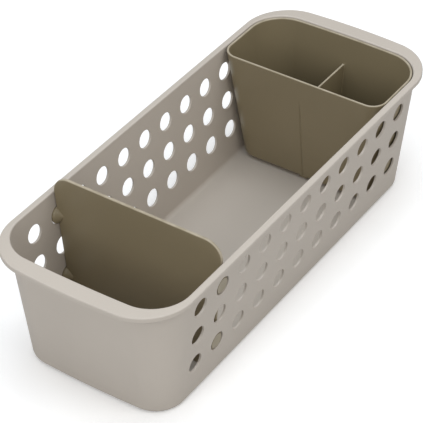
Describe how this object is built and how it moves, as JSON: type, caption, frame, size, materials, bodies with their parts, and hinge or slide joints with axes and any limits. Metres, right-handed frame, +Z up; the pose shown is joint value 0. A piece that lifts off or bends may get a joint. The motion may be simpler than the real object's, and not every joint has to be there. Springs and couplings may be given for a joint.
{
  "type": "bathroom storage basket",
  "caption": "Long open storage basket with tapered walls pierced by a grid of round holes, a wide rim, a clip-in cross divider and a lift-out bin with a low cross wall.",
  "frame": {"origin": "centre of the basket's footprint on the surface it stands on, at the undersides of the feet", "axes": "+Z up, +Y along the basket towards the end that holds the bin, +X across it"},
  "size_m": [0.1432, 0.3566, 0.1127],
  "materials": {
    "basket_plastic": "fine matte, warm light grey",
    "insert_plastic": "satin, olive brown",
    "foot_rubber": "dull soft rubber"
  },
  "bodies": {
    "basket": {"basket": "basket_plastic", "divider": "insert_plastic", "foot_near_left": "foot_rubber", "foot_near_right": "foot_rubber", "foot_far_left": "foot_rubber", "foot_far_right": "foot_rubber"},
    "bin": {"bin": "insert_plastic"}
  },
  "joints": [
    {"name": "bin_lift", "type": "slide", "parent": "basket", "child": "bin", "axis": [0, 0, 1], "range_m": [0, 0.12]}
  ]
}
